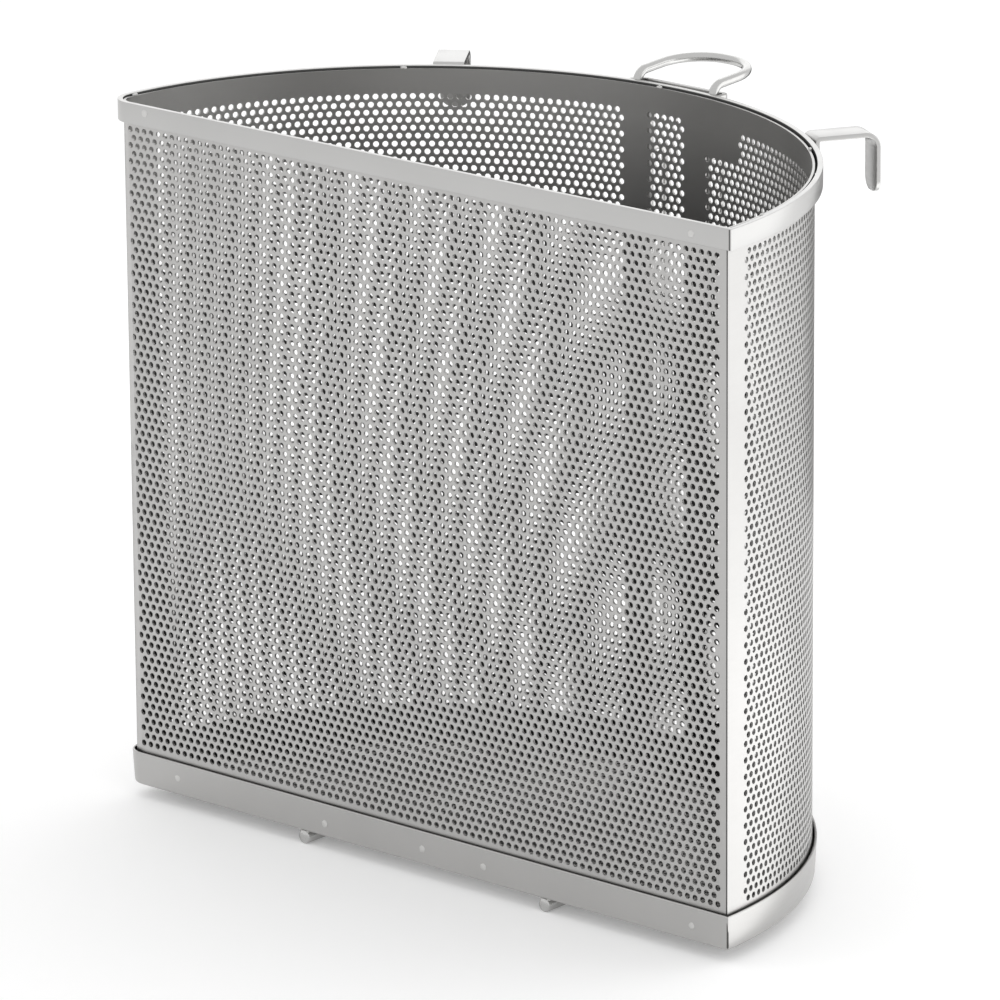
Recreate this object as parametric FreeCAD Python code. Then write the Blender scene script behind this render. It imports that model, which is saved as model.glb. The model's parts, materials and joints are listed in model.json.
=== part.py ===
import FreeCAD, Part
import math
import os

os.makedirs("parts", exist_ok=True)

# Half-round perforated strainer basket in millimetres, +Z up.
# The runners stand on z = 0 and the flat wall faces -Y.
# Pieces are drawn with the flat wall's outer face at y = 0 and the curve's middle at x = 0,
# then moved so that the origin is the bottom centre of the overall box.
# Plan angles are measured from the back of the curve, positive towards +X.

Vec = FreeCAD.Vector
UP = Vec(0, 0, 1)

# Walls
SHEET = 1.5             # thickness of the wall, the base and its flange
ARC_RADIUS = 250.0      # outer face of the curved wall
CENTRE_IN_FRONT = 8.0   # how far the curve's centre lies in front of the flat wall
BEND_RADIUS = 10.5      # outer radius of the left corner, which is bent
WALL_HEIGHT = 448.8     # from the base plate to the rim

# Base tray
FLANGE_HEIGHT = 21.0    # from the underside of the base to the flange's upper edge
FLANGE_FIT = 0.3        # clearance between wall and flange at the bottom
FLANGE_FLARE = 1.2      # how much further out the flange stands at its upper edge
TRAY_BEND = 2.0         # outer radius where the base turns up
TRAY_BEND_STEPS = 3     # flat facets round this bend

# Rim band
BAND_HEIGHT = 13.3
BAND_THICKNESS = 3.0
BAND_GAP = 2.0          # space between the curved wall and the band
TACK_WIDTH = 7.0        # weld tacks that bridge this space
TACK_DEPTH = 3.0
TACK_ANGLES = (-82.0, -42.0, -1.5, 42.0, 80.0)
TACK_FIT = 0.15

# Perforation, drawn coarse: one hole stands for a patch of real ones
HOLE_DIAMETER = 4.0
HOLE_PITCH = 6.0
COARSENESS = 10.0
STRIP_COARSENESS = 5.0  # the same in the narrow run of holes between the plain strips
HOLE_SIDES = 6
EDGE_MARGIN = 5.0       # plain sheet round the pattern
TOP_MARGIN = 17.0       # plain sheet between the rim and the first row
BLANK_ANGLE = 5.6       # middle of each plain strip that backs a strap
BLANK_WIDTH = 20.0
NOTCH_ANGLE = 12.5      # plain patch beside the right strip, below the rim
NOTCH_WIDTH = 34.0
NOTCH_HEIGHT = 38.0

# Hooks
HOOK_ANGLE = 35.5
HOOK_WIDTH = 22.0
HOOK_THICKNESS = 3.0
HOOK_RISE = 2.0         # upper face above the rim
HOOK_REACH = 43.5       # from the band to the far face of the outer leg
HOOK_INNER_DROP = 29.0  # leg on the band, below the rim
HOOK_OUTER_DROP = 37.0
HOOK_ROOT_BEND = 6.0
HOOK_BEND = 10.0
HOOK_CORNER = 8.0       # rounding of the outer leg's lower corners

# Back straps and the rods that stand off them
STRAP_WIDTH = 22.0
STRAP_THICKNESS = 2.0
STRAP_END_GAP = 0.3
ROD_DIAMETER = 4.0
ROD_INSET = 3.0         # rod axis from the middle of its strap, towards x = 0
ROD_STAND_OFF = 23.0    # rod axis from the strap's face
ROD_TOP_DROP = 44.0     # rod axis below the rim
ROD_FOOT_RISE = 40.0    # rod axis above the flange
ROD_BEND = 8.0

# Handle and its bracket
HANDLE_DIAMETER = 6.0
HANDLE_HALF_WIDTH = 30.5
HANDLE_SEAT = 0.2       # clearance between the handle's legs and the band
HANDLE_NECK = 3.2       # rod axis above the rim where it turns outwards
HANDLE_REACH = 44.0     # from the legs to the far end of the bow, along its slope
HANDLE_TILT = 9.5       # slope of the bow
HANDLE_BEND = 8.0
HANDLE_BOW_STRAIGHT = 13.0  # straight run at the far end of the bow
BRACKET_FIT = 1.5       # clearance beside each of the handle's legs
BRACKET_SPACE = 7.0     # inner face from the band at the back of the curve
BRACKET_THICKNESS = 3.0
BRACKET_BEND = 5.0
BENT_ROD_SIDES = 12     # the handle and the rods at the back are drawn with this many sides

# Runners
RUNNER_DIAMETER = 9.0
RUNNER_DROP = 10.3      # underside of the base above the floor
RUNNER_SPACING = 201.0
RUNNER_MIDDLE = 2.7     # middle between the runners
RUNNER_OVERHANG = 0.5   # front end ahead of the flat wall's outer face
RUNNER_BACK_INSET = 10.0
PAD_WIDTH = 5.0         # weld pads between a runner and the base
PAD_LENGTH = 12.0
PAD_INSET = 2.0         # end pads from the ends of the runner

BASE_TOP = RUNNER_DROP + SHEET
RIM = BASE_TOP + WALL_HEIGHT
FLANGE_TOP = RUNNER_DROP + FLANGE_HEIGHT
BAND_FOOT = RIM - BAND_HEIGHT
BAND_RADIUS = ARC_RADIUS + BAND_GAP + BAND_THICKNESS
HUB = Vec(0, -CENTRE_IN_FRONT, 0)
BEND_X = -math.sqrt((ARC_RADIUS - BEND_RADIUS) ** 2 - (BEND_RADIUS + CENTRE_IN_FRONT) ** 2)
HOLE_STEP = HOLE_PITCH * COARSENESS
HOLE_SIZE = HOLE_DIAMETER * COARSENESS
ROW_STEP = HOLE_STEP * math.sin(math.radians(60))


def polar(radius, angle, z):
    """A point at a plan radius and angle round the curve's centre."""
    turn = math.radians(angle)
    return Vec(HUB.x + radius * math.sin(turn), HUB.y + radius * math.cos(turn), z)


def outward(angle):
    """The level direction away from the curve's centre."""
    turn = math.radians(angle)
    return Vec(math.sin(turn), math.cos(turn), 0)


def plan_points(front, side, z):
    """Corner points of the plan outline, offset outwards at the front and round the curve."""
    radius = ARC_RADIUS + side
    ahead = CENTRE_IN_FRONT - front
    hub = HUB + UP * z
    right = Vec(math.sqrt(radius ** 2 - ahead ** 2), -front, z)
    bend = (radius ** 2 - BEND_X ** 2 - ahead ** 2) / (2 * (radius + ahead))
    bend_centre = Vec(BEND_X, bend - front, z)
    leaving = (bend_centre - hub).normalize()
    bisector = (leaving + Vec(0, -1, 0)).normalize()
    return {
        "right": right,
        "back": hub + Vec(0, radius, 0),
        "bend_start": hub + leaving * radius,
        "bend_middle": bend_centre + bisector * bend,
        "bend_end": Vec(BEND_X, -front, z),
        "bend_radius": bend,
    }


def curve_edges(points):
    """The curved run from the sharp right corner to the end of the left bend."""
    sweep = Part.Arc(points["right"], points["back"], points["bend_start"])
    bend = Part.Arc(points["bend_start"], points["bend_middle"], points["bend_end"])
    return [sweep.toShape(), bend.toShape()]


def outline(front, side, z):
    """The closed plan outline."""
    points = plan_points(front, side, z)
    return Part.Wire(curve_edges(points) + [Part.makeLine(points["bend_end"], points["right"])])


def curved_strip(outer, inner, height):
    """A sheet between two offset outlines, along the curve and round the left bend."""
    edges = curve_edges(outer) + curve_edges(inner)
    edges.append(Part.makeLine(outer["right"], inner["right"]))
    edges.append(Part.makeLine(outer["bend_end"], inner["bend_end"]))
    wire = Part.Wire(Part.__sortEdges__(edges))
    return Part.Face(wire).extrude(UP * height)


def flat_strip(outer, inner, height):
    """A sheet between two offset outlines, along the front, mitred at the right corner."""
    corners = [outer["bend_end"], outer["right"], inner["right"], inner["bend_end"]]
    return Part.Face(Part.makePolygon(corners + corners[:1])).extrude(UP * height)


def hole_prism(centre, direction, size):
    """A many-sided cutter centred on a sheet, with a flat side upwards."""
    side = UP if abs(direction.z) < 0.5 else Vec(1, 0, 0)
    radius = size / 2 / math.cos(math.pi / HOLE_SIDES)
    depth = 4 * SHEET
    start = centre - direction * (depth / 2)
    arm = FreeCAD.Rotation(direction, 180 / HOLE_SIDES).multVec(side) * radius
    turn = 360 / HOLE_SIDES
    corners = [start + FreeCAD.Rotation(direction, turn * i).multVec(arm) for i in range(HOLE_SIDES)]
    return Part.Face(Part.makePolygon(corners + corners[:1])).extrude(direction * depth)


def steps(low, high, step):
    """Evenly spaced values, as many as fit, centred between two limits."""
    count = int((high - low) / step) + 1
    first = (low + high - (count - 1) * step) / 2
    return [first + step * i for i in range(count)]


def wall_rows():
    """Heights of the rows of holes, from the flange to the plain strip under the rim."""
    reach = EDGE_MARGIN + HOLE_SIZE / 2
    return steps(FLANGE_TOP + reach, RIM - TOP_MARGIN - HOLE_SIZE / 2, ROW_STEP)


def front_wall():
    """The flat perforated wall."""
    outer = plan_points(0, 0, BASE_TOP)
    inner = plan_points(-SHEET, -SHEET, BASE_TOP)
    sheet = flat_strip(outer, inner, WALL_HEIGHT)
    reach = EDGE_MARGIN + HOLE_SIZE / 2
    low = outer["bend_end"].x + reach
    high = inner["right"].x - reach
    cutters = []
    for row, z in enumerate(wall_rows()):
        inset = HOLE_STEP / 2 if row % 2 else 0
        for x in steps(low + inset, high - inset, HOLE_STEP):
            cutters.append(hole_prism(Vec(x, SHEET / 2, z), Vec(0, 1, 0), HOLE_SIZE))
    return sheet.cut(Part.makeCompound(cutters))


def arc_length(angle):
    """Length along the curved wall from the back of the curve."""
    return math.radians(angle) * ARC_RADIUS


def in_plain_patch(along, z):
    """Whether a hole would cut into the plain strips or the plain patch below the rim."""
    reach = HOLE_SIZE / 2
    if abs(along) < arc_length(BLANK_ANGLE) + BLANK_WIDTH / 2 + reach:
        return True
    beside = abs(along - arc_length(NOTCH_ANGLE)) < NOTCH_WIDTH / 2 + reach
    return beside and z > RIM - NOTCH_HEIGHT - reach


def curved_wall():
    """The perforated wall round the curve and the left bend, with plain strips at the straps."""
    outer = plan_points(0, 0, BASE_TOP)
    inner = plan_points(-SHEET, -SHEET, BASE_TOP)
    sheet = curved_strip(outer, inner, WALL_HEIGHT)
    reach = EDGE_MARGIN + HOLE_SIZE / 2
    right = math.degrees(math.atan2(inner["right"].x, inner["right"].y - HUB.y))
    left = math.degrees(math.atan2(outer["bend_start"].x, outer["bend_start"].y - HUB.y))
    cutters = []
    for row, z in enumerate(wall_rows()):
        inset = HOLE_STEP / 2 if row % 2 else 0
        low = arc_length(left) + reach + inset
        high = arc_length(right) - reach - inset
        for along in steps(low, high, HOLE_STEP):
            if in_plain_patch(along, z):
                continue
            angle = math.degrees(along / ARC_RADIUS)
            middle = polar(ARC_RADIUS - SHEET / 2, angle, z)
            cutters.append(hole_prism(middle, outward(angle), HOLE_SIZE))
    cutters.extend(strip_cutters())
    return sheet.cut(Part.makeCompound(cutters))


def strip_cutters():
    """One column of finer holes between the two plain strips."""
    size = HOLE_DIAMETER * STRIP_COARSENESS
    pitch = HOLE_PITCH * STRIP_COARSENESS
    low = FLANGE_TOP + EDGE_MARGIN + size / 2
    high = RIM - TOP_MARGIN - size / 2
    middle = ARC_RADIUS - SHEET / 2
    return [hole_prism(polar(middle, 0, z), outward(0), size) for z in steps(low, high, pitch)]


def tray_body():
    """The outer form of the tray, with a bend where the base turns up."""
    foot = FLANGE_FIT + SHEET
    lip = foot + FLANGE_FLARE
    sections = []
    for i in range(TRAY_BEND_STEPS + 1):
        turn = math.pi / 2 * i / TRAY_BEND_STEPS
        offset = foot - TRAY_BEND * (1 - math.sin(turn))
        sections.append(outline(offset, offset, RUNNER_DROP + TRAY_BEND * (1 - math.cos(turn))))
    sections.append(outline(lip, lip, FLANGE_TOP))
    return Part.makeLoft(sections, True, True)


def base_tray():
    """The perforated base with its turned-up, slightly flared flange."""
    inner_lip = FLANGE_FIT + FLANGE_FLARE
    hollow = Part.makeLoft([outline(FLANGE_FIT, FLANGE_FIT, BASE_TOP),
                            outline(inner_lip, inner_lip, FLANGE_TOP)], True, True)
    tray = tray_body().cut(hollow)
    clear = ARC_RADIUS - SHEET - EDGE_MARGIN - HOLE_SIZE / 2
    front = SHEET + EDGE_MARGIN + HOLE_SIZE / 2
    cutters = []
    for row, y in enumerate(steps(front, HUB.y + clear, ROW_STEP)):
        half = math.sqrt(max(clear ** 2 - (y - HUB.y) ** 2, 0))
        inset = HOLE_STEP / 2 if row % 2 else 0
        count = int((half - inset) / HOLE_STEP)
        for i in range(-count - (1 if row % 2 else 0), count + 1):
            x = i * HOLE_STEP + inset
            centre = Vec(x, y, RUNNER_DROP + SHEET / 2)
            cutters.append(hole_prism(centre, UP, HOLE_SIZE))
    return tray.cut(Part.makeCompound(cutters))


def tack(angle):
    """A weld tack across the space between the curved wall and the band."""
    half = math.degrees(TACK_WIDTH / 2 / ARC_RADIUS)
    near = ARC_RADIUS + TACK_FIT
    far = ARC_RADIUS + BAND_GAP
    z = RIM - TACK_DEPTH
    inner = Part.Arc(polar(near, angle - half, z), polar(near, angle, z), polar(near, angle + half, z))
    outer = Part.Arc(polar(far, angle - half, z), polar(far, angle, z), polar(far, angle + half, z))
    sides = [Part.makeLine(polar(near, angle + end, z), polar(far, angle + end, z)) for end in (-half, half)]
    wire = Part.Wire(Part.__sortEdges__([inner.toShape(), outer.toShape()] + sides))
    return Part.Face(wire).extrude(UP * TACK_DEPTH)


def rim_band_curve():
    """The flat bar round the curve, held off the wall by weld tacks."""
    outer = plan_points(BAND_THICKNESS, BAND_GAP + BAND_THICKNESS, BAND_FOOT)
    inner = plan_points(0, BAND_GAP, BAND_FOOT)
    bar = curved_strip(outer, inner, BAND_HEIGHT)
    return bar.fuse([tack(angle) for angle in TACK_ANGLES]).removeSplitter()


def rim_band_front():
    """The flat bar across the flat wall, tight on its face."""
    outer = plan_points(BAND_THICKNESS, BAND_GAP + BAND_THICKNESS, BAND_FOOT)
    inner = plan_points(0, BAND_GAP, BAND_FOOT)
    return flat_strip(outer, inner, BAND_HEIGHT)


def rounded_path(points, radii):
    """A wire through points, with a tangent arc at each inner one."""
    edges = []
    start = points[0]
    for i in range(1, len(points) - 1):
        before = (points[i - 1] - points[i]).normalize()
        after = (points[i + 1] - points[i]).normalize()
        half = before.getAngle(after) / 2
        radius = radii[i - 1]
        leave = points[i] + before * (radius / math.tan(half))
        join = points[i] + after * (radius / math.tan(half))
        centre = points[i] + (before + after).normalize() * (radius / math.sin(half))
        middle = centre + (points[i] - centre).normalize() * radius
        edges.append(Part.makeLine(start, leave))
        edges.append(Part.Arc(leave, middle, join).toShape())
        start = join
    edges.append(Part.makeLine(start, points[-1]))
    return Part.Wire(edges)


def bent_rod(points, radii, diameter, side):
    """A rod along a rounded path, with one of its flats towards a given side."""
    axis = (points[1] - points[0]).normalize()
    radius = diameter / 2 / math.cos(math.pi / BENT_ROD_SIDES)
    arm = FreeCAD.Rotation(axis, 180 / BENT_ROD_SIDES).multVec(side) * radius
    turn = 360 / BENT_ROD_SIDES
    corners = [points[0] + FreeCAD.Rotation(axis, turn * i).multVec(arm) for i in range(BENT_ROD_SIDES)]
    section = Part.makePolygon(corners + corners[:1])
    return rounded_path(points, radii).makePipeShell([section], True, False)


def bent_bar(points, radii, thickness, side, width):
    """A flat bar whose outer face follows a rounded path, extruded sideways by its width."""
    normal = side.normalize()
    outer = rounded_path(points, radii)
    inner_points = inset_points(points, normal, thickness)
    inner = rounded_path(inner_points, [radius - thickness for radius in radii])
    ends = [Part.makeLine(points[0], inner_points[0]), Part.makeLine(points[-1], inner_points[-1])]
    wire = Part.Wire(Part.__sortEdges__(outer.Edges + inner.Edges + ends))
    face = Part.Face(wire)
    face.translate(normal * (-width / 2))
    return face.extrude(normal * width)


def inset_points(points, normal, thickness):
    """The same path, moved sideways in its plane by a thickness, towards the inside of its bends."""
    runs = [(points[i + 1] - points[i]).normalize() for i in range(len(points) - 1)]
    turn = runs[0].cross(runs[1]).dot(normal)
    towards = [(normal.cross(run) * (1 if turn > 0 else -1)).normalize() for run in runs]
    moved = [points[0] + towards[0] * thickness]
    for i in range(1, len(points) - 1):
        share = (towards[i - 1] + towards[i]).normalize()
        moved.append(points[i] + share * (thickness / share.dot(towards[i])))
    moved.append(points[-1] + towards[-1] * thickness)
    return moved


def hook(angle):
    """A bent flat strap: a leg on the band, a level arm and a leg that hangs outside."""
    out = outward(angle)
    near = BAND_RADIUS
    far = BAND_RADIUS + HOOK_REACH
    top = RIM + HOOK_RISE
    points = [polar(near, angle, RIM - HOOK_INNER_DROP), polar(near, angle, top),
              polar(far, angle, top), polar(far, angle, RIM - HOOK_OUTER_DROP)]
    across = out.cross(UP)
    bar = bent_bar(points, [HOOK_ROOT_BEND, HOOK_BEND], HOOK_THICKNESS, across, HOOK_WIDTH)
    foot = RIM - HOOK_OUTER_DROP
    reach = HOOK_THICKNESS / 2
    corners = [edge for edge in bar.Edges
               if edge.BoundBox.ZMax < foot + reach
               and abs(edge.tangentAt(edge.FirstParameter).dot(out)) > math.cos(math.radians(5))
               and (edge.CenterOfMass - HUB).dot(out) > (near + far) / 2]
    return bar.makeFillet(HOOK_CORNER, corners)


def back_strap(sign):
    """A flat bar on the outside of a plain strip, from the flange to the band."""
    angle = sign * BLANK_ANGLE
    out = outward(angle)
    across = UP.cross(out)
    foot = FLANGE_TOP + STRAP_END_GAP
    start = polar(ARC_RADIUS, angle, foot) - across * (STRAP_WIDTH / 2)
    corners = [start, start + across * STRAP_WIDTH,
               start + across * STRAP_WIDTH + out * STRAP_THICKNESS, start + out * STRAP_THICKNESS]
    bar = Part.Face(Part.makePolygon(corners + corners[:1]))
    return bar.extrude(UP * (BAND_FOOT - STRAP_END_GAP - foot))


def stand_off_rod(sign):
    """A rod bent to a C, with both ends on its strap."""
    angle = sign * BLANK_ANGLE
    out = outward(angle)
    inward = UP.cross(out) * sign
    face = polar(ARC_RADIUS + STRAP_THICKNESS, angle, 0) + inward * ROD_INSET
    crown = face + out * ROD_STAND_OFF
    high = UP * (RIM - ROD_TOP_DROP)
    low = UP * (FLANGE_TOP + ROD_FOOT_RISE)
    points = [face + high, crown + high, crown + low, face + low]
    return bent_rod(points, [ROD_BEND, ROD_BEND], ROD_DIAMETER, UP)


def handle_leg_y():
    """Depth of the handle's legs, which stand against the band."""
    axis_radius = BAND_RADIUS + HANDLE_SEAT + HANDLE_DIAMETER / 2
    return HUB.y + math.sqrt(axis_radius ** 2 - HANDLE_HALF_WIDTH ** 2)


def handle_bow():
    """From the handle's neck to its far bar."""
    tilt = math.radians(HANDLE_TILT)
    return Vec(0, math.cos(tilt), math.sin(tilt)) * HANDLE_REACH


def handle_loop():
    """The rod loop: two legs on the band and a round bow that stands out behind the rim."""
    leg_y = handle_leg_y()
    bow = handle_bow()
    round_end = HANDLE_HALF_WIDTH - HANDLE_BOW_STRAIGHT / 2
    left = Vec(-HANDLE_HALF_WIDTH, leg_y, 0)
    right = Vec(HANDLE_HALF_WIDTH, leg_y, 0)
    foot = UP * BAND_FOOT
    neck = UP * (RIM + HANDLE_NECK)
    points = [left + foot, left + neck, left + neck + bow, right + neck + bow, right + neck, right + foot]
    radii = [HANDLE_BEND, round_end, round_end, HANDLE_BEND]
    return bent_rod(points, radii, HANDLE_DIAMETER, Vec(1, 0, 0))


def handle_bracket():
    """The flat bar round the handle's legs, with both ends bent back to the band."""
    back = HUB.y + BAND_RADIUS + BRACKET_SPACE + BRACKET_THICKNESS
    half = HANDLE_HALF_WIDTH + HANDLE_DIAMETER / 2 + BRACKET_FIT + BRACKET_THICKNESS
    seat = HUB.y + math.sqrt(BAND_RADIUS ** 2 - (half - BRACKET_THICKNESS) ** 2)
    z = BAND_FOOT + BAND_HEIGHT / 2
    points = [Vec(-half, seat, z), Vec(-half, back, z), Vec(half, back, z), Vec(half, seat, z)]
    bar = bent_bar(points, [BRACKET_BEND, BRACKET_BEND], BRACKET_THICKNESS, UP, BAND_HEIGHT)
    return bar.cut(Part.makeCylinder(BAND_RADIUS, BAND_HEIGHT, HUB + UP * BAND_FOOT, UP))


def runner(sign):
    """A round rod under the base, cut off square, with the weld pads that carry the base."""
    x = RUNNER_MIDDLE + sign * RUNNER_SPACING / 2
    radius = RUNNER_DIAMETER / 2
    front = -RUNNER_OVERHANG
    back = HUB.y + math.sqrt(ARC_RADIUS ** 2 - x ** 2) - RUNNER_BACK_INSET
    rod = Part.makeCylinder(radius, back - front, Vec(x, front, radius), Vec(0, 1, 0))
    first_pad = front + PAD_INSET
    last_pad = back - PAD_INSET - PAD_LENGTH
    pads = []
    for y in (first_pad, (first_pad + last_pad) / 2, last_pad):
        corner = Vec(x - PAD_WIDTH / 2, y, radius)
        pads.append(Part.makeBox(PAD_WIDTH, PAD_LENGTH, RUNNER_DROP - radius, corner))
    return rod.fuse(pads)


def to_box_centre(handle):
    """The move that puts the origin at the bottom centre of the overall box."""
    corner = plan_points(BAND_THICKNESS, BAND_GAP + BAND_THICKNESS, 0)
    left = BEND_X - corner["bend_radius"]
    front = corner["right"].y
    back = max(vertex.Y for vertex in handle.Vertexes)
    return Vec(-(left + corner["right"].x) / 2, -(front + back) / 2, 0)


def build():
    """All pieces of the basket by name."""
    return {
        "front_wall": front_wall(),
        "curved_wall": curved_wall(),
        "base_tray": base_tray(),
        "rim_band_front": rim_band_front(),
        "rim_band_curve": rim_band_curve(),
        "hook_left": hook(-HOOK_ANGLE),
        "hook_right": hook(HOOK_ANGLE),
        "handle_loop": handle_loop(),
        "handle_bracket": handle_bracket(),
        "back_strap_left": back_strap(-1),
        "back_strap_right": back_strap(1),
        "stand_off_rod_left": stand_off_rod(-1),
        "stand_off_rod_right": stand_off_rod(1),
        "runner_left": runner(-1),
        "runner_right": runner(1),
    }


pieces = build()
move = to_box_centre(pieces["handle_loop"])
for name, shape in pieces.items():
    shape.translate(move)
    shape.exportStep("parts/" + name + ".step")
    print(name, shape.isValid(), len(shape.Solids), round(shape.Volume))
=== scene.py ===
import json
import math
import bmesh
import bpy
from mathutils import Matrix, Vector, noise
from mathutils.geometry import delaunay_2d_cdt


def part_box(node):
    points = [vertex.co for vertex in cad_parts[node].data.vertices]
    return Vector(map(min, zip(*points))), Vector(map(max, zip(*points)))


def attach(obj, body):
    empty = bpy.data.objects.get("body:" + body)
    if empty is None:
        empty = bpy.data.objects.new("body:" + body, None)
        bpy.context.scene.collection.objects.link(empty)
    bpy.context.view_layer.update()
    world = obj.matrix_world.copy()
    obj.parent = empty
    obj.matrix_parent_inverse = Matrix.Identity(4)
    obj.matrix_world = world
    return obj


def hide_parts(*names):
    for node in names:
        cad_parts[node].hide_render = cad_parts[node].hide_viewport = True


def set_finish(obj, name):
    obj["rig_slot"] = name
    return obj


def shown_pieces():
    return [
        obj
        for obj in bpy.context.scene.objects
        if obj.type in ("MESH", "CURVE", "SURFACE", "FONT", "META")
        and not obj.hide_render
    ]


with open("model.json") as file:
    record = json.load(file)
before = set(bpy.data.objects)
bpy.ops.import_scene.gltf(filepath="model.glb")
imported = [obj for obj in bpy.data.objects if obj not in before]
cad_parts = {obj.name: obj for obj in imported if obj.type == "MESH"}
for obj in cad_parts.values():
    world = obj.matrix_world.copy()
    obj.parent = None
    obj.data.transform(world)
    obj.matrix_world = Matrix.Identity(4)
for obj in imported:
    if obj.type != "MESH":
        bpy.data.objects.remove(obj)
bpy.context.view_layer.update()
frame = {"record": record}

# Sizes in metres. Pieces are laid out with the flat wall's outer face at y = 0 and the
# curve's middle at x = 0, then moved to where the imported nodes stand.
MM = 0.001
SHEET = 1.5 * MM
ARC_RADIUS = 250 * MM
CENTRE_IN_FRONT = 8 * MM
BEND_RADIUS = 10.5 * MM
HOLE = 4.0 * MM
PITCH = 6.0 * MM
ROW = PITCH * math.sin(math.radians(60))
ROWS = 79
RING = 8  # corners of the ring that cuts a hole
RING_SWELL = 1.03  # gives that ring the open area of a round hole

front_low, front_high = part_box("front_wall")
tray_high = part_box("base_tray")[1]
HALF_CHORD = math.sqrt(ARC_RADIUS ** 2 - CENTRE_IN_FRONT ** 2)
MOVE = Vector((front_high.x - HALF_CHORD, front_low.y, 0))
RUNNER = 9 * MM
BASE_FOOT = RUNNER
WALL_FOOT = BASE_FOOT + SHEET
RIM = front_high.z
FLANGE_TOP = tray_high.z
BAND = 3.4 * MM
BAND_GAP = 1.6 * MM
BAND_RISE = 0.9 * MM
WALL_TOP = RIM - 0.6 * MM
BAND_FOOT = RIM - 13.3 * MM
BAND_FACE = ARC_RADIUS + BAND_GAP + BAND
BEND_X = -math.sqrt((ARC_RADIUS - BEND_RADIUS) ** 2 - (BEND_RADIUS + CENTRE_IN_FRONT) ** 2)
BEND_ANGLE = math.atan2(-BEND_X, BEND_RADIUS + CENTRE_IN_FRONT)
BEND_START = ARC_RADIUS * BEND_ANGLE
BEND_END = BEND_START + BEND_RADIUS * (math.pi - BEND_ANGLE)
RIGHT_END = -ARC_RADIUS * math.atan2(HALF_CHORD, CENTRE_IN_FRONT)
STRIP_EDGE = 25 * MM  # the curved wall's two pieces meet here, in the left plain strip
FRONT_START = BEND_END - 8 * MM
FRONT_TOP = RIM - 18.3 * MM  # middle of the uppermost row of holes
CURVE_TOP = RIM - 19.1 * MM
PLATE_INSET = 6 * MM  # from the plan outline to where the base's flat plate starts

# The flat wall stands forward in its middle, as such a thin sheet does
BULGE = 4.9 * MM
BULGE_WIDE = 0.6  # power of its curve across the wall; a low one keeps it full to the sides
BULGE_TALL = 1.88
BULGE_BELOW = 20 * MM  # it starts this far below the flange's top
BULGE_HEIGHT = 450 * MM

# Steps round the plan outline
ARC_STEPS = 120
BEND_STEPS = 10
AROUND = ARC_STEPS + BEND_STEPS + 1
RISE_STEPS = 14  # over which the band climbs from the front to its full rise

ROD_SIDES = 24

UP = Vector((0, 0, 1))
EAST = Vector((1, 0, 0))

# Side, plan angle in degrees, turn from the radius in degrees, and gap to the band
HOOK_SPOTS = (("left", -35.5, 0.0, 0.0), ("right", 35.5, -5.5, 1.0 * MM))

# Plan angles of the weld tacks between the curved wall and the band
TACK_ANGLES = (-84.4, -41.9, -1.7, 42, 80)

# Spot welds on the front bar and the flange, in millimetres from the middle and above the flange's top
SPOT_WELDS = (
    (-222.1, 424.7), (224.1, 421.7), (-205.6, -10.3), (-100.2, -3.5),
    (-78.1, -13.3), (4.3, -11.6), (55.2, -12.1), (223.5, -12.1),
)


def link(obj):
    bpy.context.scene.collection.objects.link(obj)
    return obj


def mesh_piece(name, verts, faces, slot, nodes=(), angle=35):
    """A smooth-shaded mesh that rides on the body and stands for CAD nodes."""
    mesh = bpy.data.meshes.new(name)
    mesh.from_pydata(verts, [], faces)
    mesh.shade_smooth()
    mesh.set_sharp_from_angle(angle=math.radians(angle))
    obj = link(bpy.data.objects.new(name, mesh))
    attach(obj, "root")
    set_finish(obj, slot)
    if nodes:
        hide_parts(*nodes)
    return obj


# Perforated sheet: laid out flat as (along, up), cut with rings, then bent into place

def wrap(along, up, inward):
    """Place of a flat point. Seen from outside, along runs left to right, from the right corner
    round the back to the left bend and then over the front; it is 0 in the middle of the back."""
    if along <= BEND_START:
        angle = along / ARC_RADIUS
        radius = ARC_RADIUS - inward
        across, ahead = radius * math.sin(angle), radius * math.cos(angle)
        return (MOVE.x - across, MOVE.y - CENTRE_IN_FRONT + ahead, up)
    if along < BEND_END:
        angle = BEND_ANGLE + (along - BEND_START) / BEND_RADIUS
        radius = BEND_RADIUS - inward
        across, ahead = radius * math.sin(angle), radius * math.cos(angle)
        return (MOVE.x + BEND_X - across, MOVE.y + BEND_RADIUS + ahead, up)
    x = BEND_X + along - BEND_END
    return (MOVE.x + x, MOVE.y + inward - bulge(x, up), up)


def front_shares(x, up):
    """A place on the flat wall as a share of its width and of the bulge's height."""
    return (x + HALF_CHORD) / (2 * HALF_CHORD), (up - FLANGE_TOP + BULGE_BELOW) / BULGE_HEIGHT


def bulge(x, up):
    """How far the flat wall stands forward here."""
    u, v = (min(max(share, 0), 1) for share in front_shares(x, up))
    return BULGE * math.sin(math.pi * u) ** BULGE_WIDE * math.sin(math.pi * v) ** BULGE_TALL


def base_place(along, up, inward):
    return (MOVE.x + along, MOVE.y + up, BASE_FOOT + inward)


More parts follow.
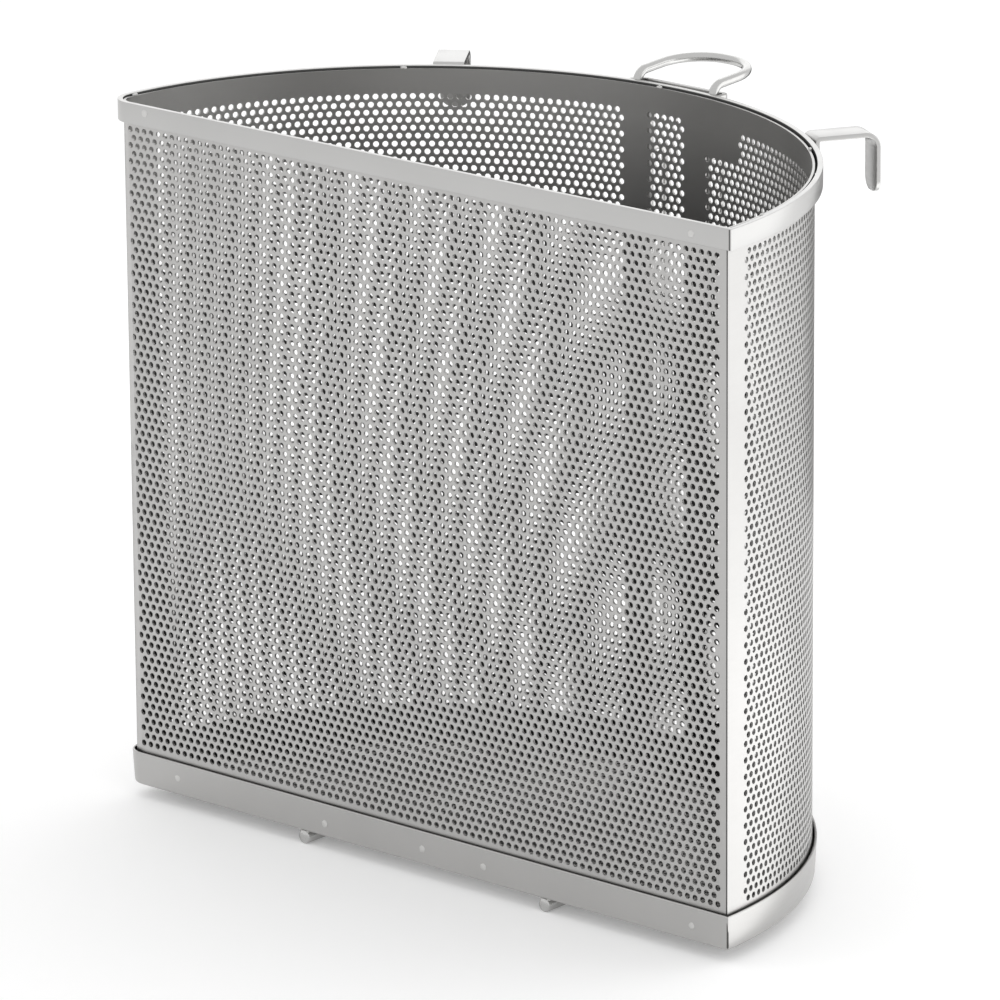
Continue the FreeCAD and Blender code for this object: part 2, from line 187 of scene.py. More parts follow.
def cut_sheet(name, place, outline, holes, guides, is_open, nodes):
    """outline and guides are runs of flat points; is_open says which outline edges stay unclosed."""
    radius = HOLE / 2 * RING_SWELL
    flat = []
    edges = []

    def run(points, closed):
        start = len(flat)
        flat.extend(Vector(p) for p in points)
        count = len(points)
        edges.extend((start + i, start + (i + 1) % count) for i in range(count if closed else count - 1))

    run(outline, True)
    for guide in guides:
        run(guide, False)
    first_ring = len(flat)
    turns = [(k + 0.5) * 2 * math.pi / RING for k in range(RING)]
    circle = [(radius * math.cos(t), radius * math.sin(t)) for t in turns]
    for s, z in holes:
        run([(s + x, z + y) for x, y in circle], True)
    points, _, faces, origins, _, _ = delaunay_2d_cdt(flat, edges, [], 1, 1e-8)
    ring_of = [(o[0] - first_ring) // RING if o and o[0] >= first_ring else -1 for o in origins]
    kept = []
    for a, b, c in faces:
        if ring_of[a] < 0 or ring_of[a] != ring_of[b] or ring_of[b] != ring_of[c]:
            kept.append((a, b, c))
    borders = set()
    for a, b, c in kept:
        for edge in ((a, b), (b, c), (c, a)):
            if (edge[1], edge[0]) in borders:
                borders.remove((edge[1], edge[0]))
            else:
                borders.add(edge)
    count = len(points)
    verts = [place(p.x, p.y, 0) for p in points] + [place(p.x, p.y, SHEET) for p in points]
    mesh_faces = list(kept)
    mesh_faces += [(c + count, b + count, a + count) for a, b, c in kept]
    rims = [(a, b) for a, b in sorted(borders) if not is_open(points[a], points[b])]
    mesh_faces += [(b, a, a + count, b + count) for a, b in rims]
    piece = mesh_piece(name, verts, mesh_faces, "sheet", nodes)
    # The inner side takes the piece's second material, a darker steel: painted shade inside the basket
    sides = [0] * len(kept) + [1] * len(kept) + [0] * len(rims)
    piece.data.polygons.foreach_set("material_index", sides)
    lay_out(piece, points, kept, rims, [holes[r] if r >= 0 else None for r in ring_of])
    return piece


def lay_out(piece, points, kept, rims, centres):
    """The sheet's map for baking: outer side below, inner side above, cut edges inside the holes."""
    low_s, high_s = min(p.x for p in points), max(p.x for p in points)
    low_z, high_z = min(p.y for p in points), max(p.y for p in points)
    scale = 0.46 / max((high_s - low_s) / 2, high_z - low_z)

    def at(s, z, side):
        return (0.02 + (s - low_s) * scale, 0.02 + 0.5 * side + (z - low_z) * scale)

    def inset(v):
        s, z = points[v].x, points[v].y
        middle = centres[v]
        if middle is None:
            return at(s * 1.002 - 0.001 * (low_s + high_s), z * 1.002 - 0.001 * (low_z + high_z), 0)
        return at(s * 0.6 + middle[0] * 0.4, z * 0.6 + middle[1] * 0.4, 0)

    flat = []
    for face in kept:
        for v in face:
            flat += at(points[v].x, points[v].y, 0)
    for face in kept:
        for v in reversed(face):
            flat += at(points[v].x, points[v].y, 1)
    for a, b in rims:
        flat += at(points[b].x, points[b].y, 0) + at(points[a].x, points[a].y, 0) + inset(a) + inset(b)
    piece.data.uv_layers.new(name="OFBake").data.foreach_set("uv", flat)


def ends_open(*places):
    """Leave the upright edges at these places unclosed, because the next sheet goes on there."""
    return lambda a, b: any(abs(a.x - s) < 1e-6 and abs(b.x - s) < 1e-6 for s in places)


def levels_open(height, *places):
    """The same, and along one level line."""
    upright = ends_open(*places)
    return lambda a, b: upright(a, b) or (abs(a.y - height) < 1e-6 and abs(b.y - height) < 1e-6)


def box_outline(left, right, foot, top, step):
    count = max(1, round((right - left) / step))
    along = [left + (right - left) * i / count for i in range(count + 1)]
    return [(s, foot) for s in along] + [(s, top) for s in reversed(along)]


def pattern(first_even, first_odd, columns, top, pitch=PITCH, skip=None):
    """Hole centres; row 0 is the uppermost and even."""
    holes = []
    for j in range(ROWS):
        for i in range(columns[j % 2]):
            s, z = (first_odd if j % 2 else first_even) + pitch * i, top - ROW * j
            if skip is None or not skip(s, j):
                holes.append((s, z))
    return holes


def uprights(low, high, step):
    """Guide lines up a plain stretch, so that it follows the curve."""
    count = max(1, round((high - low) / step))
    places = [low + (high - low) * i / count for i in range(count + 1)]
    return [[(s, WALL_FOOT + 1.5 * MM), (s, WALL_TOP - 1.5 * MM)] for s in places]


def front_hole(s, z, shift):
    """The flat wall's pattern sits slightly askew."""
    u, v = front_shares(s - shift, z)
    return s + (0.23 - 0.77 * u - 1.04 * v) * MM, z + (0.59 - 0.98 * u) * MM


def build_front():
    """The flat wall, as two pieces one above the other, because of the limit on triangles."""
    shift = BEND_END - BEND_X
    right = shift + HALF_CHORD
    first = shift - HALF_CHORD + 12.8 * MM
    holes = pattern(first, first + PITCH / 2, (81, 80), FRONT_TOP)
    holes = [front_hole(s, z, shift) for s, z in holes]
    level = FRONT_TOP - ROW * 39.5
    for name, low, high in (("front_wall_upper", level, WALL_TOP), ("front_wall_lower", WALL_FOOT, level)):
        edge = box_outline(FRONT_START, right, low, high, 1.5 * MM)
        within = [hole for hole in holes if low < hole[1] < high]
        cut_sheet(name, wrap, edge, within, [], levels_open(level, FRONT_START), ("front_wall",))


def in_notch(s, row):
    """Beside the right plain strip the uppermost rows stop short."""
    return row < 4 and s > -69 * MM


def build_curve():
    """The curved wall with the left bend, as two pieces side by side for the same reason."""
    strip = pattern(-9.55 * MM, -12.55 * MM, (5, 5), CURVE_TOP)
    rights = pattern(-363.05 * MM, -366.08 * MM, (55, 55), CURVE_TOP + 0.3 * MM, 6.062 * MM, in_notch)
    lefts = pattern(39.08 * MM, 36.08 * MM, (53, 53), CURVE_TOP + 0.5 * MM)
    guides = uprights(-33 * MM, -17 * MM, 3 * MM) + uprights(18 * MM, 23 * MM, 3 * MM)
    guides += uprights(RIGHT_END + 2 * MM, RIGHT_END + 14 * MM, 3 * MM)
    edge = box_outline(RIGHT_END, STRIP_EDGE, WALL_FOOT, WALL_TOP, 3 * MM)
    is_open = ends_open(STRIP_EDGE)
    cut_sheet("curved_wall_right", wrap, edge, rights + strip, guides, is_open, ("curved_wall",))
    guides = uprights(27 * MM, 32 * MM, 3 * MM)
    guides += uprights(BEND_START - 8 * MM, FRONT_START - 1.5 * MM, 1.5 * MM)
    edge = box_outline(STRIP_EDGE, FRONT_START, WALL_FOOT, WALL_TOP, 1.5 * MM)
    is_open = ends_open(STRIP_EDGE, FRONT_START)
    cut_sheet("curved_wall_left", wrap, edge, lefts, guides, is_open, ("curved_wall",))


# Strips that follow the plan outline


def outline(front, side):
    """Points of the plan outline at a front and a side offset, always as many."""
    radius = ARC_RADIUS + side
    ahead = CENTRE_IN_FRONT - front
    corner = math.atan2(math.sqrt(radius ** 2 - ahead ** 2), ahead)
    bend = (radius ** 2 - BEND_X ** 2 - ahead ** 2) / (2 * (radius + ahead))
    centre = (BEND_X, bend - front)
    leave = math.atan2(-centre[0], centre[1] + CENTRE_IN_FRONT)
    points = []
    for i in range(ARC_STEPS + 1):
        angle = corner - (corner + leave) * i / ARC_STEPS
        points.append((radius * math.sin(angle), -CENTRE_IN_FRONT + radius * math.cos(angle)))
    for i in range(1, BEND_STEPS + 1):
        angle = leave + (math.pi - leave) * i / BEND_STEPS
        points.append((centre[0] - bend * math.sin(angle), centre[1] + bend * math.cos(angle)))
    return [(MOVE.x + x, MOVE.y + y) for x, y in points]


def swept(name, section, slot, nodes, closed=True, rise=0):
    """A strip whose section points are (front offset, side offset, height); rise lifts it round the curve."""
    last = AROUND - 1
    lifts = [rise * min(1, min(i, last - i) / RISE_STEPS) for i in range(AROUND)]
    verts = []
    for front, side, z in section:
        verts += [(x, y, z + lift) for (x, y), lift in zip(outline(front, side), lifts)]
    faces = []
    turns = len(section) if closed else len(section) - 1
    for j in range(turns):
        k = (j + 1) % len(section)
        for i in range(AROUND):
            n = (i + 1) % AROUND
            faces.append((j * AROUND + i, j * AROUND + n, k * AROUND + n, k * AROUND + i))
    return mesh_piece(name, verts, faces, slot, nodes, 40)


def second_finish(piece, faces):
    """Give the piece's second material to a range of its faces."""
    count = len(piece.data.polygons)
    piece.data.polygons.foreach_set("material_index", [int(i in faces) for i in range(count)])


def rounded_section(width, height, radius, steps=3):
    """Corner-rounded rectangle as (0..width, 0..height) points, anticlockwise."""
    right, top = width - radius, height - radius
    points = []
    for cx, cy, start in ((right, radius, -90), (right, top, 0), (radius, top, 90), (radius, radius, 180)):
        for i in range(steps + 1):
            turn = math.radians(start + 90 * i / steps)
            points.append((cx + radius * math.cos(turn), cy + radius * math.sin(turn)))
    return points


def build_band():
    """The bar round the rim; it lies on the flat wall and stands off the curved one."""
    section = []
    for w, z in rounded_section(BAND, RIM - BAND_FOOT, 0.35 * MM):
        section.append((w, BAND_GAP + w, BAND_FOOT + z))
    band = swept("rim_band", section, "bar", ("rim_band_front", "rim_band_curve"), rise=BAND_RISE)
    wall_side = 11  # number of the section's side that faces the wall
    # That side takes the near-black second material: painted shade in the gap between the band and the wall
    second_finish(band, range(wall_side * AROUND, (wall_side + 1) * AROUND))


def build_flange():
    """The base's turned-up flange, with the edge of the base that it grows out of."""
    fit, flare, bend, lip = 0.3 * MM, 1.2 * MM, 2.0 * MM, 0.4 * MM
    height = FLANGE_TOP - BASE_FOOT
    face = fit + SHEET

    def at(offset, z):
        return (offset + flare * z / height, offset + flare * z / height, BASE_FOOT + z)

    turns = [math.radians(a) for a in range(0, 91, 15)]
    outer = [at(face - bend + bend * math.sin(t), bend - bend * math.cos(t)) for t in turns]
    top = [at(face, height - lip), at(face - lip, height), at(fit + lip, height), at(fit, height - lip)]
    inner = [at(fit, SHEET + 0.6 * MM), at(fit - 0.6 * MM, SHEET)]
    start, end = ((-PLATE_INSET, -PLATE_INSET, z) for z in (BASE_FOOT, BASE_FOOT + SHEET))
    section = [start] + outer + top + inner + [end]
    flange = swept("base_flange", section, "sheet", ("base_tray",), closed=False)
    # The flange's inner side and the base's edge take the darker second material: painted shade inside the
    # basket
    inner_from = (len(outer) + len(top)) * AROUND
    second_finish(flange, range(inner_from, len(flange.data.polygons)))


def build_base():
    """The base's flat perforated plate, inside the flange's piece."""
    edge = [(x - MOVE.x, y - MOVE.y) for x, y in outline(-PLATE_INSET, -PLATE_INSET)]
    clear = ARC_RADIUS - 10 * MM
    holes = []
    row = 0
    y = 9.5 * MM
    while y < clear - CENTRE_IN_FRONT:
        half = math.sqrt(clear ** 2 - (y + CENTRE_IN_FRONT) ** 2)
        offset = PITCH / 2 if row % 2 else 0
        count = int((half + PITCH) / PITCH) + 1
        for i in range(-count, count + 1):
            x = i * PITCH + offset
            if abs(x) <= half - 2 * MM and (x > BEND_X or y > 14 * MM):
                holes.append((x, y))
        y += ROW
        row += 1

    def is_open(a, b):
        return near_edge(a, edge) and near_edge(b, edge)

    cut_sheet("base_plate", base_place, list(reversed(edge)), holes, [], is_open, ("base_tray",))


def near_edge(point, edge):
    return any(abs(point.x - x) < 1e-7 and abs(point.y - y) < 1e-7 for x, y in edge)


# Bars and rods

def spot(angle, radius, z):
    """A point round the curve's centre; plan angles go from the back towards +X."""
    turn = math.radians(angle)
    return Vector((MOVE.x + radius * math.sin(turn), MOVE.y - CENTRE_IN_FRONT + radius * math.cos(turn), z))


def outward(angle):
    return Vector((math.sin(math.radians(angle)), math.cos(math.radians(angle)), 0))


def rounded(points, radii, turns=10):
    """Stations of place and heading along a run with an arc at each inner point."""
    stations = [(points[0], (points[1] - points[0]).normalized())]
    for before, corner, after, radius in zip(points, points[1:], points[2:], radii):
        back = (before - corner).normalized()
        on = (after - corner).normalized()
        half = back.angle(on) / 2
        centre = corner + (back + on).normalized() * (radius / math.sin(half))
        start = corner + back * (radius / math.tan(half))
        axis = on.cross(back).normalized()
        for i in range(turns + 1):
            turn = Matrix.Rotation((math.pi - 2 * half) * i / turns, 3, axis)
            stations.append((centre + turn @ (start - centre), turn @ -back))
    stations.append((points[-1], (points[-1] - points[-2]).normalized()))
    return stations


def round_section(diameter, inset):
    radius = diameter / 2 - inset
    turns = [math.pi * k / (ROD_SIDES / 2) for k in range(ROD_SIDES)]
    return [(radius * math.cos(t), radius * math.sin(t)) for t in turns]


def flat_section(size, inset, narrow):
    """A flat bar's section with rounded edges; its width lies along the side direction."""
    across, thick = size[0] / 2 - inset - narrow, size[1] / 2 - inset
    edge = max(0.6 * MM - inset, 0.1 * MM)
    points = []
    for sx, sy, start in ((1, -1, -90), (1, 1, 0), (-1, 1, 90), (-1, -1, 180)):
        x, y = sx * (across - edge), sy * (thick - edge)
        for i in range(4):
            turn = math.radians(start + 30 * i)
            points.append((x + edge * math.cos(turn), y + edge * math.sin(turn)))
    return points


def bar(name, stations, side, size, nodes, bevel=0.5 * MM, corner=0):
    """A flat bar along its stations, with broken ends; corner rounds the far end's width."""
    place, heading = stations[0]
    frames = [(place, heading, bevel, 0)]
    frames.append((place + heading * bevel * 0.3, heading, bevel * 0.3, 0))
    frames.append((place + heading * bevel, heading, 0, 0))
    frames += [(p, h, 0, 0) for p, h in stations[1:-1]]
    place, heading = stations[-1]
    if corner:
        for i in range(8):
            turn = math.pi / 2 * i / 8
            narrow = corner * (1 - math.cos(turn))
            frames.append((place - heading * corner * (1 - math.sin(turn)), heading, 0, narrow))
    else:
        frames.append((place - heading * bevel, heading, 0, 0))
    frames.append((place - heading * bevel * 0.3, heading, bevel * 0.3, corner * 0.93))
    frames.append((place, heading, bevel, corner * 0.97))
    verts = []
    for place, heading, inset, narrow in frames:
        up = heading.cross(side)
        verts += [tuple(place + side * a + up * b) for a, b in flat_section(size, inset, narrow)]
    return mesh_piece(name, verts, tube_faces(len(verts) // len(frames), len(frames)), "bar", nodes, 50)


def tube_faces(count, frames):
    """Faces of a closed tube whose rings have count points."""
    total = count * frames
    faces = [tuple(reversed(range(count))), tuple(range(total - count, total))]
    for j in range(frames - 1):
        for i in range(count):
            n = (i + 1) % count
            faces.append((j * count + i, j * count + n, (j + 1) * count + n, (j + 1) * count + i))
    return faces


def weld(name, centre, half, angle, seed):
    """A bead of weld: a flattened, uneven ball, turned to a plan angle."""
    work = bmesh.new()
    bmesh.ops.create_icosphere(work, subdivisions=4, radius=1)
    turn = Matrix.Rotation(-math.radians(angle), 3, "Z")
    for vert in work.verts:
        coarse = noise.noise(vert.co * 1.9 + Vector((seed * 3.1, seed, 0)))
        fine = noise.noise(vert.co * 6 + Vector((0, seed, 5)))
        swell = 1 + 0.22 * coarse + 0.06 * fine
        vert.co = centre + turn @ Vector([c * h * swell for c, h in zip(vert.co, half)])
    mesh = bpy.data.meshes.new(name)
    work.to_mesh(mesh)
    work.free()
    mesh.shade_smooth()
    obj = link(bpy.data.objects.new(name, mesh))
    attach(obj, "root")
    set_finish(obj, "bar")


def build_hooks():
    foot, top, tip = (Vector((0, 0, z)) for z in (RIM - 15 * MM, RIM + 0.5 * MM, RIM - 37 * MM))
    for name, angle, turned, clear in HOOK_SPOTS:
        out = outward(angle + turned)
        root = spot(angle, BAND_FACE + clear + 1.5 * MM, 0)
        reach = out * (41.2 * MM - clear)
        points = [root + foot, root + top, root + top + reach, root + reach + tip]
        stations = rounded(points, [2 * MM, 8.5 * MM])
        size = (20 * MM, 3 * MM)
        bar("hook_" + name + "_strap", stations, out.cross(UP), size, ("hook_" + name,), corner=8 * MM)


def build_handle():
    half, tilt = 31 * MM, math.radians(3.5)
    axis = 258.2 * MM
    leg = Vector((MOVE.x, MOVE.y - CENTRE_IN_FRONT + math.sqrt(axis ** 2 - half ** 2), 0))
    across = Vector((half, 0, 0))
    bow = Vector((0, math.cos(tilt), math.sin(tilt))) * 52 * MM
    foot, neck = UP * (BAND_FOOT - 0.5 * MM), UP * (RIM + 5 * MM)
    points = [leg - across + foot, leg - across + neck, leg - across + neck + bow]
    points += [leg + across + neck + bow, leg + across + neck, leg + across + foot]
    rings = []
    side = EAST
    for place, heading in rounded(points, [8 * MM, 28.5 * MM, 28.5 * MM, 8 * MM], 14):
        side = (side - heading * side.dot(heading)).normalized()
        rings.append((place, heading, side))
    rod("handle_rod", rings, 6 * MM, ("handle_loop",))


def rod(name, rings, diameter, nodes, bevel=0.6 * MM):
    """A round rod whose side direction is carried along its stations."""
    place, heading, side = rings[0]
    frames = [(place, heading, side, bevel), (place + heading * bevel, heading, side, 0)]
    frames += [(p, h, s, 0) for p, h, s in rings[1:-1]]
    place, heading, side = rings[-1]
    frames += [(place - heading * bevel, heading, side, 0), (place, heading, side, bevel)]
    verts = []
    for place, heading, side, inset in frames:
        up = heading.cross(side)
        verts += [tuple(place + side * a + up * b) for a, b in round_section(diameter, inset)]
    return mesh_piece(name, verts, tube_faces(ROD_SIDES, len(frames)), "rod", nodes, 50)


def build_bracket():
    half = 36.75 * MM
    centre = MOVE.y - CENTRE_IN_FRONT
    back = centre + 263.5 * MM
    seat = centre + math.sqrt(BAND_FACE ** 2 - half ** 2) + 0.1 * MM
    z = (BAND_FOOT + RIM) / 2
    left, right = MOVE.x - half, MOVE.x + half
    plan = ((left, seat), (left, back), (right, back), (right, seat))
    stations = rounded([Vector((x, y, z)) for x, y in plan], [3.5 * MM, 3.5 * MM])
    bar("handle_bracket_bar", stations, UP, (13.3 * MM, 3 * MM), ("handle_bracket",))


def build_straps():
    low, high = Vector((0, 0, FLANGE_TOP + 0.4 * MM)), Vector((0, 0, BAND_FOOT - 0.4 * MM))
    ends = (("top", RIM - 44 * MM), ("foot", FLANGE_TOP + 40 * MM))
    top, foot = (Vector((0, 0, z)) for place, z in ends)
    for name, sign in (("left", -1), ("right", 1)):
        angle = 5.6 * sign
        out = outward(angle)
        side = out.cross(UP)
        face = spot(angle, ARC_RADIUS + 1.1 * MM, 0)
        stations = [(face + low, UP), (face + high, UP)]
        bar("strap_" + name, stations, side, (22 * MM, 2 * MM), ("back_strap_" + name,), bevel=0.3 * MM)
        inward = UP.cross(out) * sign
        root = spot(angle, ARC_RADIUS + 2.1 * MM, 0) + inward * 3 * MM
        crown = root + out * 23 * MM
        stations = rounded([root + top, crown + top, crown + foot, root + foot], [8 * MM, 8 * MM])
        rings = [(p, h, side) for p, h in stations]
        rod("stand_off_" + name, rings, 4 * MM, ("stand_off_rod_" + name,), 0.2 * MM)
        for place, z in ends:
            centre = root + out * 0.6 * MM + Vector((0, 0, z))
            half = (3.1 * MM, 1.2 * MM, 3.1 * MM)
            weld("weld_stand_off_%s_%s" % (name, place), centre, half, angle, z * 90 + sign)


def build_runners():
    for name, sign in (("left", -1), ("right", 1)):
        low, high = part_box("runner_" + name)
        x, heading = (low.x + high.x) / 2, Vector((0, 1, 0))
        rings = [(Vector((x, y, RUNNER / 2)), heading, EAST) for y in (low.y, high.y)]
        rod("runner_rod_" + name, rings, RUNNER, ("runner_" + name,), 0.5 * MM)
        beads = (
            ("front", low.y + 1.6 * MM, 1.5 * MM),
            ("middle", (low.y + high.y) / 2, 4.5 * MM),
            ("back", high.y - 4 * MM, 4.5 * MM),
        )
        for place, y, length in beads:
            for edge, word in ((-1, "left"), (1, "right")):
                centre = Vector((x + edge * 2.4 * MM, y, RUNNER - 0.7 * MM))
                half = (1.5 * MM, length, 0.85 * MM)
                weld("weld_runner_%s_%s_%s" % (name, place, word), centre, half, 0, sign + edge * 3 + y * 50)


def build_welds():
    for i, angle in enumerate(TACK_ANGLES):
        centre = spot(angle, ARC_RADIUS + 0.1 * MM, RIM - 0.4 * MM)
        weld("weld_tack_%d" % i, centre, (2.2 * MM, 1.1 * MM, 1.2 * MM), angle, i)
    for name, angle, turned, clear in HOOK_SPOTS:
        for i, along in enumerate((-10.3, 10.3)):
            centre = spot(angle, BAND_FACE + 0.9 * MM, RIM - 8 * MM) + outward(angle + 90) * along * MM
            weld("weld_hook_%s_%d" % (name, i), centre, (1.2 * MM, 1.3 * MM, 4.5 * MM), angle, i + 7)


def build_corner():
    """The closed seam up the sharp right corner of the walls, the band and the flange, drawn as thin
    near-black rods: painted shade for the dark line along the joint.
    """
    inset, flange = 0.45 * MM, 2.6 * MM
    seams = (
        ("wall", 0, 0, 0.3 * MM, FLANGE_TOP, BAND_FOOT),
        ("band", BAND, BAND_GAP + BAND, 0.9 * MM, BAND_FOOT + 0.3 * MM, RIM - 0.2 * MM),
        ("flange", flange, flange, 0.3 * MM, BASE_FOOT + 2 * MM, FLANGE_TOP - 0.3 * MM),
    )
    for name, front, side, back, low, high in seams:
        x, y = outline(front, side)[0]
        x -= back
        rings = [(Vector((x - inset, y + inset, z)), UP, EAST) for z in (low, high)]
        piece = rod("corner_seam_" + name, rings, 1.3 * MM, (), 0.2 * MM)
        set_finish(piece, "bar")


def build_spots():
    for i, (x, z) in enumerate(SPOT_WELDS):
        depth = BAND if z > 0 else 2.35 * MM
        centre = Vector((MOVE.x + x * MM, MOVE.y - depth, FLANGE_TOP + z * MM))
        weld("weld_spot_%d" % i, centre, (2.3 * MM, 0.3 * MM, 2.3 * MM), 0, i + 11)


build_front()
build_curve()
build_band()
build_flange()
build_base()
build_corner()
build_spots()
build_hooks()
build_handle()
build_bracket()
build_straps()
build_runners()
build_welds()


# Camera, from a fit to the outline of the walls, the band and the flange

def make_camera():
    azimuth, elevation, roll = (math.radians(v) for v in (41.3953, 16.581, -0.4282))
    focal = 8037.96  # in pixels of the 1000-pixel image, as the offsets of the target below are
    distance = 5025.75 * MM
    flat = math.cos(elevation)
    back = Vector((math.sin(azimuth) * flat, -math.cos(azimuth) * flat, math.sin(elevation)))
    level = Vector((math.cos(azimuth), math.sin(azimuth), 0))
    above = back.cross(level)
    right = level * math.cos(roll) + above * math.sin(roll)
    up = -level * math.sin(roll) + above * math.cos(roll)
    target = Vector((0, 100 * MM, FLANGE_TOP + 209 * MM)) + MOVE
    place = target - right * (22.53 / focal * distance) + up * (-27.39 / focal * distance) + back * distance
    data = bpy.data.cameras.new("camera")
    data.sensor_fit = "HORIZONTAL"
    data.sensor_width = 36
    data.lens = focal / 1000 * 36
    data.clip_end = 100
    obj = link(bpy.data.objects.new("camera", data))
    obj.matrix_world = Matrix.Translation(place) @ Matrix((right, up, back)).transposed().to_4x4()
    bpy.context.scene.camera = obj


# Materials

# Numbers of a colour mix node's sockets
COLOUR_A = 6
COLOUR_B = 7
MIXED = 2


class Nodes:
    def __init__(self, name):
        self.material = bpy.data.materials.new(name)
        self.material.use_nodes = True
        self.tree = self.material.node_tree
        self.tree.nodes.clear()

    def add(self, kind, **inputs):
        node = self.tree.nodes.new(kind)
        for key, value in inputs.items():
            if hasattr(node, key):
                setattr(node, key, value)
            else:
                node.inputs[key.replace("_", " ")].default_value = value
        return node

    def join(self, a, out, b, into):
        self.tree.links.new(a.outputs[out], b.inputs[into])


def steel(name, colour, roughness, streak, bump, painted_shade_share=None):
    """Stainless steel: a fine drawn grain in the roughness and the bump, with soft patches.

    The last argument, if given, is the share of the colour that is left far below the rim: painted shade that
    darkens the colour towards the bottom, as the shade does deep inside the basket."""
    n = Nodes(name)
    out = n.add("ShaderNodeOutputMaterial")
    shader = n.add("ShaderNodeBsdfPrincipled")
    shader.inputs["Metallic"].default_value = 1
    n.join(shader, "BSDF", out, "Surface")
    where = n.add("ShaderNodeTexCoord")
    stretch = n.add("ShaderNodeMapping")
    stretch.inputs["Scale"].default_value = streak
    n.join(where, "Object", stretch, "Vector")
    grain = n.add("ShaderNodeTexNoise")
    grain.inputs["Scale"].default_value = 1
    grain.inputs["Detail"].default_value = 4
    n.join(stretch, "Vector", grain, "Vector")
    patches = n.add("ShaderNodeTexNoise")
    patches.inputs["Scale"].default_value = 14
    patches.inputs["Detail"].default_value = 3
    n.join(where, "Object", patches, "Vector")
    rough = n.add("ShaderNodeMapRange")
    rough.inputs["To Min"].default_value = roughness - 0.06
    rough.inputs["To Max"].default_value = roughness + 0.08
    n.join(grain, "Fac", rough, "Value")
    n.join(rough, "Result", shader, "Roughness")
    tint = n.add("ShaderNodeMix", data_type="RGBA")
    tint.inputs[COLOUR_A].default_value = [c * 0.93 for c in colour] + [1]
    tint.inputs[COLOUR_B].default_value = [min(1, c * 1.05) for c in colour] + [1]
    n.join(patches, "Fac", tint, "Factor")
    if painted_shade_share is None:
        n.join(tint, MIXED, shader, "Base Color")
    else:
        height = n.add("ShaderNodeSeparateXYZ")
        n.join(where, "Object", height, "Vector")
        painted_shade_fade = n.add("ShaderNodeMapRange")
        painted_shade_fade.inputs["From Min"].default_value = RIM - 110 * MM
        painted_shade_fade.inputs["From Max"].default_value = RIM - 20 * MM
        n.join(height, "Z", painted_shade_fade, "Value")
        painted_shade_mix = n.add("ShaderNodeMix", data_type="RGBA")
        painted_shade_mix.inputs[COLOUR_A].default_value = [c * painted_shade_share for c in colour] + [1]
        n.join(painted_shade_fade, "Result", painted_shade_mix, "Factor")
        n.join(tint, MIXED, painted_shade_mix, COLOUR_B)
        n.join(painted_shade_mix, MIXED, shader, "Base Color")
    relief = n.add("ShaderNodeBump")
    relief.inputs["Strength"].default_value = bump
    relief.inputs["Distance"].default_value = 0.0002
    n.join(grain, "Fac", relief, "Height")
    n.join(relief, "Normal", shader, "Normal")
    return n.material


SHEET_STEEL = steel("sheet_steel", (0.475, 0.47, 0.462), 0.34, (60, 60, 900), 0.05)
# Darker copy of the sheet steel for the inner faces, darker still far below the rim: painted shade inside the
# basket
INNER_PAINTED_SHADE_STEEL = steel("inner_steel", (0.40, 0.395, 0.386), 0.36, (60, 60, 900), 0.05, 0.2)
BAR_STEEL = steel("bar_steel", (0.50, 0.497, 0.49), 0.30, (80, 80, 1400), 0.05)
ROD_STEEL = steel("rod_steel", (0.52, 0.518, 0.51), 0.24, (500, 500, 500), 0.04)

# Near-black steel: painted shade for the dark line of the corner seam and for the gap behind the band
PAINTED_GAP_SHADE = steel("seam_steel", (0.10, 0.10, 0.098), 0.5, (500, 500, 500), 0.1)
WELD_STEEL = steel("weld_steel", (0.60, 0.595, 0.585), 0.42, (900, 900, 900), 0.25)

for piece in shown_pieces():
    kind = piece.get("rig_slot")
    if kind is None:
        kind = "bar"
        for part in frame["record"]["subparts"]:
            if part["node"] == piece.name:
                kind = part["material_slot"]
    material = {"sheet": SHEET_STEEL, "bar": BAR_STEEL, "rod": ROD_STEEL}[kind]
    if "weld" in piece.name:
        material = WELD_STEEL
    elif "seam" in piece.name:
        # the corner seam's rods: painted shade
        material = PAINTED_GAP_SHADE
    finish = [material]
    if kind == "sheet":
        # the sheets' inner faces: painted shade
        finish.append(INNER_PAINTED_SHADE_STEEL)
    elif piece.name == "rim_band":
        # the band's side facing the wall: painted shade in the gap
        finish.append(PAINTED_GAP_SHADE)
    for i, wanted in enumerate(finish):
        if i < len(piece.data.materials):
            piece.data.materials[i] = wanted
        else:
            piece.data.materials.append(wanted)


# Studio

def seen(tree):
    """1 for rays from the camera and in reflections, 0 for the light that falls on things."""
    path = tree.nodes.new("ShaderNodeLightPath")
    total = path.outputs["Is Camera Ray"]
    for other in ("Is Glossy Ray", "Is Transmission Ray"):
        add = tree.nodes.new("ShaderNodeMath")
        add.operation = "MAXIMUM"
        tree.links.new(total, add.inputs[0])
        tree.links.new(path.outputs[other], add.inputs[1])
        total = add.outputs[0]
    return total


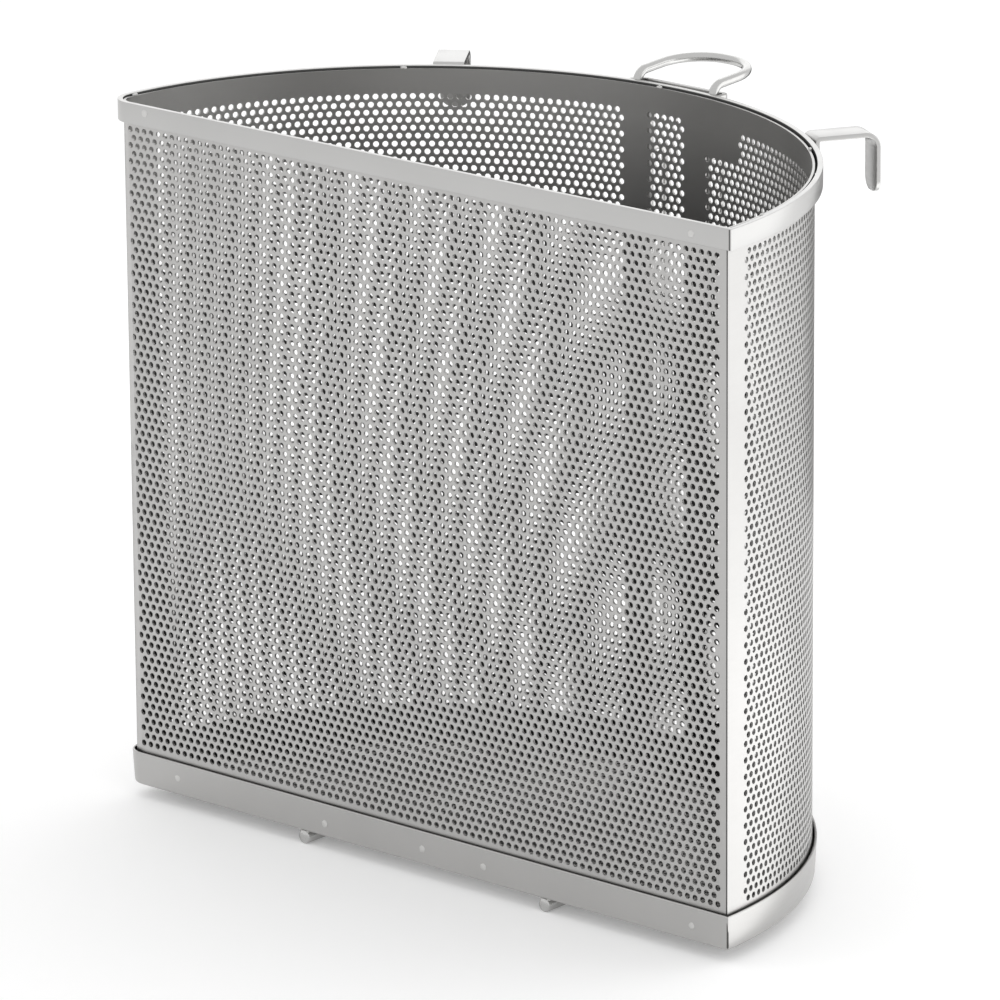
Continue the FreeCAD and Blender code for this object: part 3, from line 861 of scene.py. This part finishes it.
def make_floor():
    n = Nodes("floor")
    out = n.add("ShaderNodeOutputMaterial")
    diffuse = n.add("ShaderNodeBsdfDiffuse")
    diffuse.inputs["Color"].default_value = (0.90, 0.90, 0.90, 1)
    glow = n.add("ShaderNodeEmission")
    scale = n.add("ShaderNodeMath", operation="MULTIPLY")
    scale.inputs[1].default_value = 0.16
    n.tree.links.new(seen(n.tree), scale.inputs[0])
    n.tree.links.new(scale.outputs[0], glow.inputs["Strength"])
    both = n.add("ShaderNodeAddShader")
    n.join(diffuse, "BSDF", both, 0)
    n.join(glow, "Emission", both, 1)
    n.join(both, "Shader", out, "Surface")
    size = 9
    mesh = bpy.data.meshes.new("floor")
    corners = [(-size, -size, 0), (size, -size, 0), (size, size, 0), (-size, size, 0)]
    mesh.from_pydata(corners, [], [(0, 1, 2, 3)])
    mesh.materials.append(n.material)
    link(bpy.data.objects.new("floor", mesh))


def make_world():
    world = bpy.data.worlds.new("studio")
    bpy.context.scene.world = world
    world.use_nodes = True
    world.node_tree.nodes["Background"].inputs["Color"].default_value = (1, 1, 1, 1)
    world.node_tree.nodes["Background"].inputs["Strength"].default_value = 1.0


def make_panel(name, place, aim, size, power):
    """A soft panel that the camera doesn't see."""
    data = bpy.data.lights.new(name, "AREA")
    data.shape = "RECTANGLE"
    data.size, data.size_y = size
    data.energy = power
    obj = link(bpy.data.objects.new(name, data))
    obj.location = place
    obj.rotation_euler = (Vector(aim) - Vector(place)).to_track_quat("-Z", "Y").to_euler()
    obj.visible_camera = False


def make_card():
    """A dark card behind, seen only in the curved side's edge."""
    n = Nodes("card")
    out = n.add("ShaderNodeOutputMaterial")
    diffuse = n.add("ShaderNodeBsdfDiffuse")
    diffuse.inputs["Color"].default_value = (0.02, 0.02, 0.02, 1)
    n.join(diffuse, "BSDF", out, "Surface")
    middle, across = Vector((-0.30, 0.62, 0)), Vector((0.30, 0.16, 0))
    low, high = middle - across, middle + across
    mesh = bpy.data.meshes.new("card")
    foot, top = 0.01, 0.4
    corners = [(low.x, low.y, foot), (high.x, high.y, foot), (high.x, high.y, top), (low.x, low.y, top)]
    mesh.from_pydata(corners, [], [(0, 1, 2, 3)])
    mesh.materials.append(n.material)
    obj = link(bpy.data.objects.new("card", mesh))
    obj.visible_camera = obj.visible_diffuse = obj.visible_shadow = obj.visible_transmission = False


make_floor()
make_world()
make_card()
make_panel("panel_right", (0.75, 0.70, 0.40), (0, 0, 0.25), (0.9, 0.9), 2.3)
make_panel("panel_low", (0.52, 0.22, 0.006), (0.52, 0.22, 1), (0.52, 0.72), 1.15)
make_panel("panel_back", (-0.95, 1.08, 0.98), (0, 0, 0.46), (1.9, 0.9), 3.3)
make_camera()
bpy.context.scene.view_settings.view_transform = "Standard"
